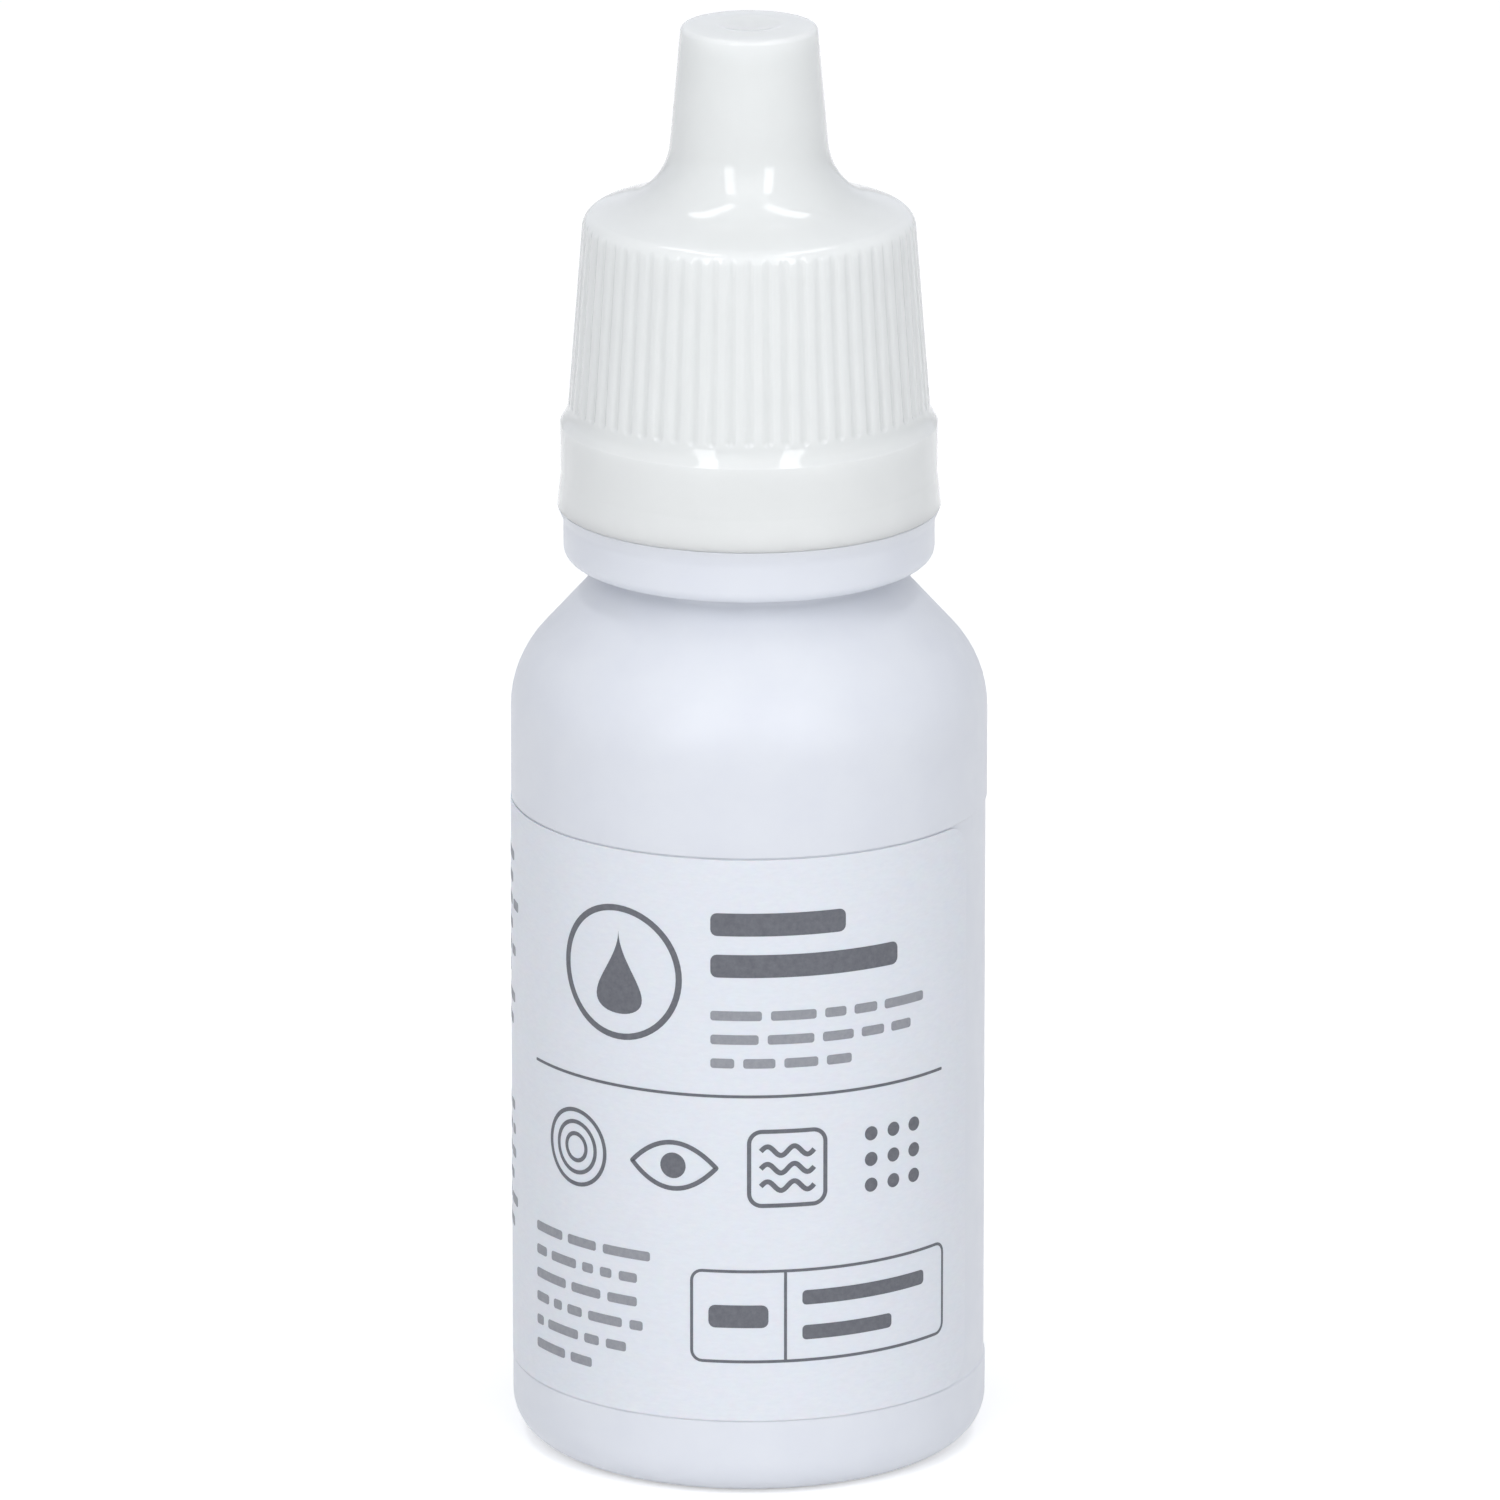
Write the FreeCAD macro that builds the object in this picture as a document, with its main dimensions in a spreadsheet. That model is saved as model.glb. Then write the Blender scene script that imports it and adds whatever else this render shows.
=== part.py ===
"""Eye drop bottle: squeeze bottle, dropper insert, tamper ring, fluted screw cap and wrap-round label.

All sizes are in millimetres. The bottle stands on z = 0 with its axis on +Z, and its printed side
faces -Y. Every radius is worked outwards from the neck bore and every height upwards from the base,
so that a changed size carries the pieces that fit round it or stand on it.
"""
import FreeCAD, Part
import math
import os
import re

import Sketcher

SIZES = {
    # squeeze bottle: body and shoulder
    "body_diameter": 22.25,
    "body_wall": 0.9,
    "base_wall": 1.0,
    "base_corner": 2.0,
    "base_land": 1.5,
    "base_dome": 0.8,
    "straight_height": 35.4,
    "panel_depth": 0.07,
    "panel_margin": 0.25,
    "shoulder_round": 5.16,
    "shoulder_angle": 47.9,
    # squeeze bottle: neck, from the bore outwards
    "neck_bore": 8.28,
    "neck_wall": 1.45,
    "neck_height": 14.5,
    "rim_bevel": 0.25,
    "thread_depth": 0.8,
    "collar_step": 1.3,
    "collar_height": 4.1,
    "bead_step": 0.74,
    "bead_height": 0.4,
    # dropper insert
    "plug_length": 6.0,
    "plug_wall": 0.9,
    "plug_bevel": 0.3,
    "plug_interference": 0.02,
    "flange_thickness": 1.0,
    "flange_inset": 0.25,
    "nozzle_foot_diameter": 4.9,
    "nozzle_tip_diameter": 3.5,
    "nozzle_height": 8.5,
    "nozzle_tip_round": 0.5,
    "nozzle_wall": 1.0,
    "outlet_diameter": 0.6,
    "outlet_length": 0.6,
    "drop_cup_diameter": 1.7,
    "drop_cup_depth": 0.7,
    # tamper ring
    "running_gap": 0.25,
    "ring_seat_gap": 0.54,
    "ring_wall": 0.76,
    "ring_lip": 0.8,
    "ring_height": 2.53,
    "ring_edge_round": 0.6,
    "ring_flare": 0.28,
    "ring_flare_height": 0.65,
    # screw cap: skirt
    "break_gap": 0.05,
    "thread_gap": 0.3,
    "band_wall": 0.89,
    "band_height": 3.93,
    "lip_flare": 0.16,
    "lip_height": 1.5,
    "lip_edge": 0.08,
    "ledge_rise": 0.62,
    "bore_step_inset": 0.45,
    "skirt_draft": 4.45,
    "skirt_wall": 0.94,
    "flute_depth": 0.1,
    "flute_depth_top": 0.07,
    "flute_round": 0.33,
    "flute_lift": 0.56,
    "flute_count": 60,
    # screw cap: roof and spire
    "head_gap": 0.45,
    "roof_wall": 1.3,
    "roof_slope": 20.0,
    "roof_edge_round": 0.6,
    "spire_foot_round": 3.2,
    "nozzle_gap": 0.3,
    "spire_wall": 1.1,
    "spire_draft": 5.08,
    "spire_edge_round": 0.25,
    "tip_gap": 0.45,
    "top_wall": 1.44,
    "top_crown": 0.15,
    "gate_dish_diameter": 3.0,
    "gate_dish_depth": 0.2,
    "seal_pin_diameter": 0.8,
    "seal_pin_reach": 0.3,
    "seal_pin_round": 0.3,
    # wrap-round label
    "label_foot": 3.9,
    "label_height": 27.2,
    "label_thickness": 0.07,
    "glue_gap": 0.03,
    "label_bare_angle": 50.0,
    "label_end_bearing": -25.0,
}

# Radii, heights and corner points worked out from the sizes above, each from those before it.
WORKED = {
    # bottle body
    "body_radius": "body_diameter / 2",
    "inner_radius": "body_radius - body_wall",
    "panel_radius": "body_radius - panel_depth",
    "panel_foot": "label_foot - panel_margin",
    "panel_top": "label_foot + label_height + panel_margin",
    "land_outer": "body_radius - base_corner",
    "land_inner": "land_outer - base_land",
    "dome_round": "(land_inner ^ 2 + base_dome ^ 2) / (2 * base_dome)",
    "shoulder_centre": "body_radius - shoulder_round",
    "slope_radius": "shoulder_centre + shoulder_round * sin(shoulder_angle)",
    "slope_level": "straight_height + shoulder_round * cos(shoulder_angle)",
    "inner_round": "shoulder_round - body_wall",
    "inner_slope_radius": "shoulder_centre + inner_round * sin(shoulder_angle)",
    "inner_slope_level": "straight_height + inner_round * cos(shoulder_angle)",
    # neck
    "bore_radius": "neck_bore / 2",
    "neck_radius": "bore_radius + neck_wall",
    "collar_radius": "neck_radius + collar_step",
    "collar_level": "slope_level + (slope_radius - collar_radius) * tan(shoulder_angle)",
    "collar_top": "collar_level + collar_height",
    "bore_foot": "inner_slope_level + (inner_slope_radius - bore_radius) * tan(shoulder_angle)",
    "rim_level": "collar_level + neck_height",
    # tamper ring and the bead that holds it down
    "ring_foot": "collar_level + ring_seat_gap",
    "ring_top": "ring_foot + ring_height",
    "ring_lip_top": "ring_foot + ring_lip",
    "bead_level": "ring_lip_top + running_gap",
    "bead_radius": "collar_radius + bead_step",
    "ring_lip_radius": "collar_radius + running_gap",
    "ring_bore": "bead_radius + running_gap",
    "ring_radius": "ring_bore + ring_wall",
    # dropper insert
    "plug_radius": "bore_radius + plug_interference",
    "plug_bore": "plug_radius - plug_wall",
    "plug_foot": "rim_level - plug_length",
    "flange_top": "rim_level + flange_thickness",
    "flange_radius": "neck_radius - flange_inset",
    "nozzle_foot": "nozzle_foot_diameter / 2",
    "nozzle_tip": "nozzle_tip_diameter / 2",
    "tip_level": "flange_top + nozzle_height",
    "cup_foot": "tip_level - drop_cup_depth",
    "outlet_foot": "cup_foot - outlet_length",
    "channel_foot": "nozzle_foot - nozzle_wall",
    "channel_tip": "nozzle_tip - nozzle_wall",
    # screw cap: skirt
    "cap_foot": "ring_top + break_gap",
    "band_radius": "ring_bore + band_wall",
    "lip_radius": "band_radius + lip_flare",
    "band_top": "cap_foot + band_height",
    "ledge_level": "band_top + ledge_rise",
    "thread_radius": "neck_radius + thread_depth",
    "cap_bore": "thread_radius + thread_gap",
    "bore_step_foot": "band_top - bore_step_inset",
    "bore_step_top": "bore_step_foot + ring_bore - cap_bore",
    # screw cap: roof and spire, by the sharp corners that the rounds replace
    "ceiling_level": "flange_top + head_gap",
    "roof_radius": "cap_bore + skirt_wall + flute_depth_top",
    "roof_level": "ceiling_level + roof_wall - (roof_radius - cap_bore) * tan(roof_slope)",
    "ledge_radius": "roof_radius + (roof_level - ledge_level) * tan(skirt_draft)",
    "roof_tangent": "roof_edge_round * tan((90 - roof_slope - skirt_draft) / 2)",
    "spire_bore": "nozzle_foot + nozzle_gap",
    "spire_radius": "spire_bore + spire_wall",
    "spire_level": "roof_level + (roof_radius - spire_radius) * tan(roof_slope)",
    "spire_tangent": "spire_foot_round * tan((90 - roof_slope - spire_draft) / 2)",
    "spire_ceiling": "tip_level + tip_gap",
    "spire_ceiling_radius": "spire_bore - (spire_ceiling - spire_level) * tan(spire_draft)",
    "cap_top": "spire_ceiling + top_wall",
    "cap_top_radius": "spire_radius - (cap_top - spire_edge_round - spire_level) * tan(spire_draft)",
    "ceiling_inner_level": "ceiling_level + (cap_bore - spire_bore) * tan(roof_slope)",
    "crown_radius": "cap_top_radius - spire_edge_round",
    "crown_round": "(crown_radius ^ 2 + top_crown ^ 2) / (2 * top_crown)",
    "dish_radius": "gate_dish_diameter / 2",
    "dish_level": "cap_top + top_crown - crown_round + sqrt(crown_round ^ 2 - dish_radius ^ 2)",
    "dish_round": "(dish_radius ^ 2 + gate_dish_depth ^ 2) / (2 * gate_dish_depth)",
    "pin_radius": "seal_pin_diameter / 2",
    "pin_foot": "tip_level - seal_pin_reach",
    # screw cap: one flute, the side of a slim tapered bar
    "flute_foot": "ledge_level + flute_lift",
    "flute_foot_radius": "roof_radius + (roof_level - flute_foot) * tan(skirt_draft)",
    "flute_foot_centre": "flute_foot_radius - flute_depth + flute_round",
    "flute_shrink": "roof_radius / flute_foot_radius",
    "flute_top_round": "flute_round * flute_shrink",
    "flute_top_centre": "roof_radius - flute_depth_top + flute_top_round",
    "flute_rise": "roof_level - flute_foot",
    "flute_tilt": "atan((flute_foot_centre - flute_top_centre) / flute_rise)",
    # label
    "label_inner": "panel_radius + glue_gap",
    "label_outer": "label_inner + label_thickness",
    "label_top": "label_foot + label_height",
}

doc = FreeCAD.newDocument("eye_drop_bottle")


def add_sheet(name, rows):
    """Write one alias and its cell text per row."""
    sheet = doc.addObject("Spreadsheet::Sheet", name)
    for row, (alias, text) in enumerate(rows.items(), start=1):
        sheet.set(f"A{row}", alias)
        sheet.set(f"B{row}", text)
        sheet.setAlias(f"B{row}", alias)
        if text.startswith("="):
            doc.recompute()
    doc.recompute()
    return sheet


def bound(text):
    """Name the sheet of every size or worked-out value that a formula mentions."""
    def with_sheet(word):
        if word.group() in SIZES:
            return "Sizes." + word.group()
        if word.group() in WORKED:
            return "Worked." + word.group()
        return word.group()
    return re.sub(r"[a-z_]+", with_sheet, text)


def own_sheet(text):
    """The same for a cell of the second sheet, which names its own values without a prefix."""
    return "=" + bound(text).replace("Worked.", "")


def value(text):
    """The present number of a formula."""
    return float(worked.evalExpression(bound(text)))


def origin_part(body, role):
    """One of the body's own planes or axes."""
    return next(part for part in body.Origin.OriginFeatures if part.Role == role)


def new_body(label):
    body = doc.addObject("PartDesign::Body", label)
    body.Label = label
    return body


def new_sketch(body, name, plane):
    sketch = body.newObject("Sketcher::SketchObject", name)
    sketch.AttachmentSupport = [(origin_part(body, plane), "")]
    sketch.MapMode = "FlatFace"
    return sketch


def run(start, end, round_radius, turn):
    """A straight run or a round between two corners, and which end of it comes first."""
    first = FreeCAD.Vector(*start, 0)
    last = FreeCAD.Vector(*end, 0)
    if round_radius is None:
        return Part.LineSegment(first, last), 1, 2
    chord = last - first
    left = FreeCAD.Vector(-chord.y, chord.x, 0).normalize()
    rise = math.sqrt(max(round_radius ** 2 - (chord.Length / 2) ** 2, 0))
    side = 1 if turn == "left" else -1
    centre = (first + last) / 2 + left * rise * side
    circle = Part.Circle(centre, FreeCAD.Vector(0, 0, 1), round_radius)
    angle_first = math.atan2(first.y - centre.y, first.x - centre.x)
    angle_last = math.atan2(last.y - centre.y, last.x - centre.x)
    if turn == "left":
        return Part.ArcOfCircle(circle, angle_first, angle_last), 1, 2
    return Part.ArcOfCircle(circle, angle_last, angle_first), 2, 1


def hold(sketch, kind, geometry, point, text):
    """Tie one coordinate of a point to a formula; a coordinate of 0 puts it on the axis."""
    if text == "0":
        axis = -2 if kind == "DistanceX" else -1
        sketch.addConstraint(Sketcher.Constraint("PointOnObject", geometry, point, axis))
        return
    index = sketch.addConstraint(Sketcher.Constraint(kind, geometry, point, value(text)))
    sketch.setExpression(f"Constraints[{index}]", bound(text))


def half_section(body, name, corners):
    """Closed outline in the XZ plane, anticlockwise, each corner given as radius and height.

    A corner may also give the radius of a round that runs from it to the next corner, and whether
    that round turns left (an outer corner of the solid) or right (a hollow).
    """
    sketch = new_sketch(body, name, "XZ_Plane")
    places = [(value(corner[0]), value(corner[1])) for corner in corners]
    runs = []
    for number, corner in enumerate(corners):
        rounding, turn = corner[2:] if len(corner) > 2 else (None, None)
        end = places[(number + 1) % len(places)]
        radius = value(rounding) if rounding else None
        shape, first, last = run(places[number], end, radius, turn)
        geometry = sketch.addGeometry(shape, False)
        runs.append((geometry, first, last))
        if rounding:
            index = sketch.addConstraint(Sketcher.Constraint("Radius", geometry, radius))
            sketch.setExpression(f"Constraints[{index}]", bound(rounding))
    for number, (geometry, first, _) in enumerate(runs):
        before, _, end_before = runs[number - 1]
        sketch.addConstraint(Sketcher.Constraint("Coincident", before, end_before, geometry, first))
        hold(sketch, "DistanceX", geometry, first, corners[number][0])
        hold(sketch, "DistanceY", geometry, first, corners[number][1])
    return sketch


def turned(body, sketch, angle="360"):
    """Revolve a half section about the bottle's axis."""
    feature = body.newObject("PartDesign::Revolution", sketch.Name + "_turned")
    feature.Profile = sketch
    feature.ReferenceAxis = (sketch, ["V_Axis"])
    feature.setExpression("Angle", bound(angle))
    sketch.Visibility = False
    doc.recompute()
    return feature


def make_bottle():
    """Blow-moulded bottle: domed base, sunk label panel, sloped shoulder, neck with its ring bead."""
    body = new_body("bottle")
    section = half_section(body, "bottle_section", [
        ("0", "base_dome", "dome_round", "right"),
        ("land_inner", "0"),
        ("land_outer", "0", "base_corner", "left"),
        ("body_radius", "base_corner"),
        ("body_radius", "panel_foot - panel_depth"),
        ("panel_radius", "panel_foot"),
        ("panel_radius", "panel_top"),
        ("body_radius", "panel_top + panel_depth"),
        ("body_radius", "straight_height", "shoulder_round", "left"),
        ("slope_radius", "slope_level"),
        ("collar_radius", "collar_level"),
        ("collar_radius", "bead_level"),
        ("bead_radius", "bead_level"),
        ("bead_radius", "bead_level + bead_height"),
        ("collar_radius", "bead_level + bead_height + bead_step"),
        ("collar_radius", "collar_top"),
        ("neck_radius", "collar_top + collar_step"),
        ("neck_radius", "rim_level - rim_bevel"),
        ("neck_radius - rim_bevel", "rim_level"),
        ("bore_radius", "rim_level"),
        ("bore_radius", "bore_foot"),
        ("inner_slope_radius", "inner_slope_level", "inner_round", "right"),
        ("inner_radius", "straight_height"),
        ("inner_radius", "base_corner", "base_corner - body_wall", "right"),
        ("land_outer", "body_wall"),
        ("land_inner", "base_wall"),
        ("0", "base_dome + base_wall"),
    ])
    turned(body, section)
    return body


def make_dropper_insert():
    """Dropper pressed into the neck: hollow plug, flange on the rim, tapered nozzle and drop cup."""
    body = new_body("dropper_insert")
    section = half_section(body, "dropper_section", [
        ("plug_bore", "plug_foot"),
        ("plug_radius - plug_bevel", "plug_foot"),
        ("plug_radius", "plug_foot + plug_bevel"),
        ("plug_radius", "rim_level"),
        ("flange_radius", "rim_level"),
        ("flange_radius", "flange_top"),
        ("nozzle_foot", "flange_top"),
        ("nozzle_tip", "tip_level - nozzle_tip_round", "nozzle_tip_round", "left"),
        ("nozzle_tip - nozzle_tip_round", "tip_level"),
        ("drop_cup_diameter / 2", "tip_level"),
        ("outlet_diameter / 2", "cup_foot"),
        ("outlet_diameter / 2", "outlet_foot"),
        ("channel_tip", "outlet_foot"),
        ("channel_foot", "flange_top"),
        ("plug_bore", "rim_level - flange_thickness"),
    ])
    turned(body, section)
    return body


def make_tamper_ring():
    """Ring under the cap, whose inner lip catches below the neck bead."""
    body = new_body("tamper_ring")
    section = half_section(body, "ring_section", [
        ("ring_lip_radius", "ring_foot"),
        ("ring_radius - ring_edge_round", "ring_foot", "ring_edge_round", "left"),
        ("ring_radius", "ring_foot + ring_edge_round"),
        ("ring_radius", "ring_top - ring_flare_height"),
        ("ring_radius + ring_flare", "ring_top"),
        ("ring_bore", "ring_top"),
        ("ring_bore", "ring_lip_top"),
        ("ring_lip_radius", "ring_lip_top"),
    ])
    turned(body, section)
    return body


def make_screw_cap():
    """Screw cap: flared lip, plain band, fluted skirt, sloped roof and the spire over the nozzle."""
    body = new_body("screw_cap")
    section = half_section(body, "cap_section", [
        ("ring_bore", "cap_foot"),
        ("lip_radius - lip_edge", "cap_foot", "lip_edge", "left"),
        ("lip_radius", "cap_foot + lip_edge"),
        ("band_radius", "cap_foot + lip_height"),
        ("band_radius", "band_top"),
        ("ledge_radius", "ledge_level"),
        ("roof_radius + roof_tangent * sin(skirt_draft)", "roof_level - roof_tangent * cos(skirt_draft)",
         "roof_edge_round", "left"),
        ("roof_radius - roof_tangent * cos(roof_slope)", "roof_level + roof_tangent * sin(roof_slope)"),
        ("spire_radius + spire_tangent * cos(roof_slope)", "spire_level - spire_tangent * sin(roof_slope)",
         "spire_foot_round", "right"),
        ("spire_radius - spire_tangent * sin(spire_draft)", "spire_level + spire_tangent * cos(spire_draft)"),
        ("cap_top_radius", "cap_top - spire_edge_round", "spire_edge_round", "left"),
        ("crown_radius", "cap_top", "crown_round", "left"),
        ("dish_radius", "dish_level", "dish_round", "right"),
        ("0", "dish_level - gate_dish_depth"),
        ("0", "pin_foot"),
        ("pin_radius - seal_pin_round", "pin_foot", "seal_pin_round", "left"),
        ("pin_radius", "pin_foot + seal_pin_round"),
        ("pin_radius", "spire_ceiling"),
        ("spire_ceiling_radius", "spire_ceiling"),
        ("spire_bore", "ceiling_inner_level"),
        ("cap_bore", "ceiling_level"),
        ("cap_bore", "bore_step_top"),
        ("ring_bore", "bore_step_foot"),
    ])
    turned(body, section)
    add_flutes(body)
    return body


def add_flutes(body):
    """Cut one flute up the skirt, a slim tapered bar with a round foot, and repeat it all round."""
    plain_volume = body.Shape.Volume
    section = half_section(body, "flute_section", [
        ("flute_foot_centre + flute_round * sin(flute_tilt)", "flute_foot - flute_round * cos(flute_tilt)",
         "flute_round", "left"),
        ("flute_foot_centre + flute_round * cos(flute_tilt)", "flute_foot + flute_round * sin(flute_tilt)"),
        ("flute_top_centre + flute_top_round * cos(flute_tilt)",
         "roof_level + flute_top_round * sin(flute_tilt)"),
        ("flute_top_centre", "roof_level"),
    ])
    flute = body.newObject("PartDesign::Groove", "flute")
    flute.Profile = section
    middle_line = "Edge4"
    flute.ReferenceAxis = (section, [middle_line])
    flute.Angle = 360
    section.Visibility = False
    doc.recompute()
    one_cut = plain_volume - body.Shape.Volume
    flutes = body.newObject("PartDesign::PolarPattern", "flutes")
    flutes.Originals = [flute]
    flutes.Axis = (origin_part(body, "Z_Axis"), [""])
    flutes.Angle = 360
    flutes.setExpression("Occurrences", bound("flute_count"))
    body.Tip = flutes
    doc.recompute()
    all_cut = plain_volume - body.Shape.Volume
    print(f"flutes: {flutes.Occurrences}, {one_cut:.4f} mm3 each, {all_cut:.2f} mm3 in all")
    if one_cut <= 0 or all_cut < 0.99 * one_cut * flutes.Occurrences:
        raise RuntimeError("not every flute is cut")


def make_label():
    """Printed label wrapped round the body, leaving a bare strip between its ends."""
    body = new_body("label")
    section = half_section(body, "label_section", [
        ("label_inner", "label_foot"),
        ("label_outer", "label_foot"),
        ("label_outer", "label_top"),
        ("label_inner", "label_top"),
    ])
    turned(body, section, "360 - label_bare_angle")
    body.setExpression("Placement.Rotation.Angle", bound("label_end_bearing + label_bare_angle"))
    doc.recompute()
    return body


def check(parts):
    """Stop if an object failed or a piece is empty or not a valid solid."""
    for item in doc.Objects:
        if {"Invalid", "Error"} & set(item.State):
            raise RuntimeError(f"{item.Name} failed: {item.State}")
    for part in parts:
        if part.Shape.isNull() or not part.Shape.isValid() or not part.Shape.Solids:
            raise RuntimeError(f"{part.Label} is not a valid solid")


sizes = add_sheet("Sizes", {alias: str(number) for alias, number in SIZES.items()})
worked = add_sheet("Worked", {alias: own_sheet(formula) for alias, formula in WORKED.items()})

parts = [make_bottle(), make_dropper_insert(), make_tamper_ring(), make_screw_cap(), make_label()]
doc.recompute()
check(parts)

os.makedirs("parts", exist_ok=True)
for part in parts:
    part.Shape.exportStep(os.path.join("parts", part.Label + ".step"))
    box = part.Shape.BoundBox
    print(f"{part.Label}: {part.Shape.Volume:.1f} mm3, z {box.ZMin:.2f} to {box.ZMax:.2f}, "
          f"{box.XLength:.2f} x {box.YLength:.2f} across")
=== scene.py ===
"""Looks of an eye drop bottle with a fluted screw cap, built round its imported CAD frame.

Lengths are in millimetres until a mesh is made, which is in metres. Levels and outer radii come from
the frame. The bottle stands on z = 0, its axis is +Z, and its printed side faces -Y.
"""
import math

import bpy
import numpy as np
from mathutils import Matrix, Vector


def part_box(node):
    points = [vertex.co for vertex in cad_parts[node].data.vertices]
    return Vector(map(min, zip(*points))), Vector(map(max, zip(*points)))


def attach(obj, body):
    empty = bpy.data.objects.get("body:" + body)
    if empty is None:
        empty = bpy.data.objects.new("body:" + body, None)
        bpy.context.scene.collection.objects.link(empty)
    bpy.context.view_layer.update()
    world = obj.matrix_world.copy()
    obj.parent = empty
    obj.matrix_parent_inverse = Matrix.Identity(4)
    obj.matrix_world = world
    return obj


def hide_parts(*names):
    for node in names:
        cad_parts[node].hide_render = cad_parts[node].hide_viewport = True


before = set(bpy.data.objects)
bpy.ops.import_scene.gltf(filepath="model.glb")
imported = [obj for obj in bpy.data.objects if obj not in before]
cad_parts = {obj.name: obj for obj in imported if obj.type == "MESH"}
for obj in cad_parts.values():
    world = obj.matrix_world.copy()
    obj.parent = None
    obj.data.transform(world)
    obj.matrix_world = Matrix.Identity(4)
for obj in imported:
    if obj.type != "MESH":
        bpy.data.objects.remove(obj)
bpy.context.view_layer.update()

METRE = 1000.0
FRONT = math.radians(-90)


def span(node):
    """Lowest and highest corner of a CAD node, in millimetres."""
    low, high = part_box(node)
    return low * METRE, high * METRE


bottle_low, bottle_high = span("bottle")
insert_low, insert_high = span("dropper_insert")
ring_low, ring_high = span("tamper_ring")
cap_low, cap_high = span("screw_cap")
label_low, label_high = span("label")

# Radii that neighbours share, from the neck bore outwards, and the height of the ring's inner lip.
BORE_RADIUS = 4.14
NECK_RADIUS = 5.59
CAP_BORE = 6.69
COLLAR_RADIUS = 6.89
RING_LIP_RADIUS = 7.14
RING_BORE = 7.88
RING_LIP_HEIGHT = 0.8

# The screw thread: a right-hand helix that the neck and the cap share, half a pitch apart.
THREAD_PITCH = 3.0
THREAD_START = 48.9
THREAD_DEPTH = 0.75
THREAD_HALF_FOOT = 0.75
THREAD_HALF_CREST = 0.3
THREAD_RUN_OUT = 0.3
NECK_THREAD_BELOW_RIM = 2.2
CAP_THREAD_ABOVE_START = 2.2
CAP_THREAD_BELOW_RIM = 0.8

# Spacing of points: rounds larger than LARGE_ROUND get the finer step, and plain runs the wide one.
LARGE_ROUND = 0.55
LARGE_ROUND_STEP = math.radians(5)
SMALL_ROUND_STEP = math.radians(15)
PLAIN_SPACING = 2.0

# How near a point's radius is to the axis or to a wall when it counts as on it.
ON_AXIS = 1e-6
ON_WALL = 0.01

SHARP_ANGLE = math.radians(40)


def rounded(corners, closed=False):
    """Outline through corners given as (radius, height, round, spacing), each round and spacing optional.

    A corner with a round is replaced by an arc that touches both its runs: the arc starts and ends at
    round * tan(half the turn) from the corner. The run that leaves a corner has points spacing apart.
    """
    places = np.array([corner[:2] for corner in corners], float)
    count = len(places)
    stretches = []
    for number, corner in enumerate(corners):
        fillet = corner[2] if len(corner) > 2 else 0.0
        here = places[number]
        before = places[number - 1]
        after = places[(number + 1) % count]
        inner = closed or 0 < number < count - 1
        if fillet and inner:
            stretches.append(corner_arc(before, here, after, fillet))
        else:
            stretches.append(here[None])
    outline = []
    for number, stretch in enumerate(stretches):
        outline.append(stretch)
        if number == count - 1 and not closed:
            break
        end = stretches[(number + 1) % count][0]
        spacing = corners[number][3] if len(corners[number]) > 3 else PLAIN_SPACING
        run = end - stretch[-1]
        pieces = max(int(math.ceil(np.linalg.norm(run) / spacing)), 1)
        shares = np.arange(1, pieces)[:, None] / pieces
        outline.append(stretch[-1] + run * shares)
    return np.concatenate(outline)


def corner_arc(before, here, after, fillet):
    """Arc of radius fillet that touches the runs before-here and here-after."""
    along = (here - before) / np.linalg.norm(here - before)
    away = (after - here) / np.linalg.norm(after - here)
    turn = math.atan2(along[0] * away[1] - along[1] * away[0], along @ away)
    start = here - along * fillet * math.tan(abs(turn) / 2)
    side = math.copysign(1.0, turn)
    left = np.array([-along[1], along[0]]) * side
    centre = start + left * fillet
    step = LARGE_ROUND_STEP if fillet > LARGE_ROUND else SMALL_ROUND_STEP
    angles = np.linspace(0, turn, max(int(abs(turn) / step), 2) + 1)
    cos, sin = np.cos(angles)[:, None], np.sin(angles)[:, None]
    spoke = start - centre
    across = np.array([-spoke[1], spoke[0]])
    return centre + spoke * cos + across * sin


def put_mesh(name, points, faces):
    """A smooth-shaded mesh object at the origin, from points in millimetres."""
    mesh = bpy.data.meshes.new(name)
    mesh.from_pydata((points / METRE).tolist(), [], faces)
    mesh.shade_smooth()
    mesh.set_sharp_from_angle(angle=SHARP_ANGLE)
    piece = bpy.data.objects.new(name, mesh)
    bpy.context.scene.collection.objects.link(piece)
    return piece


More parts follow.
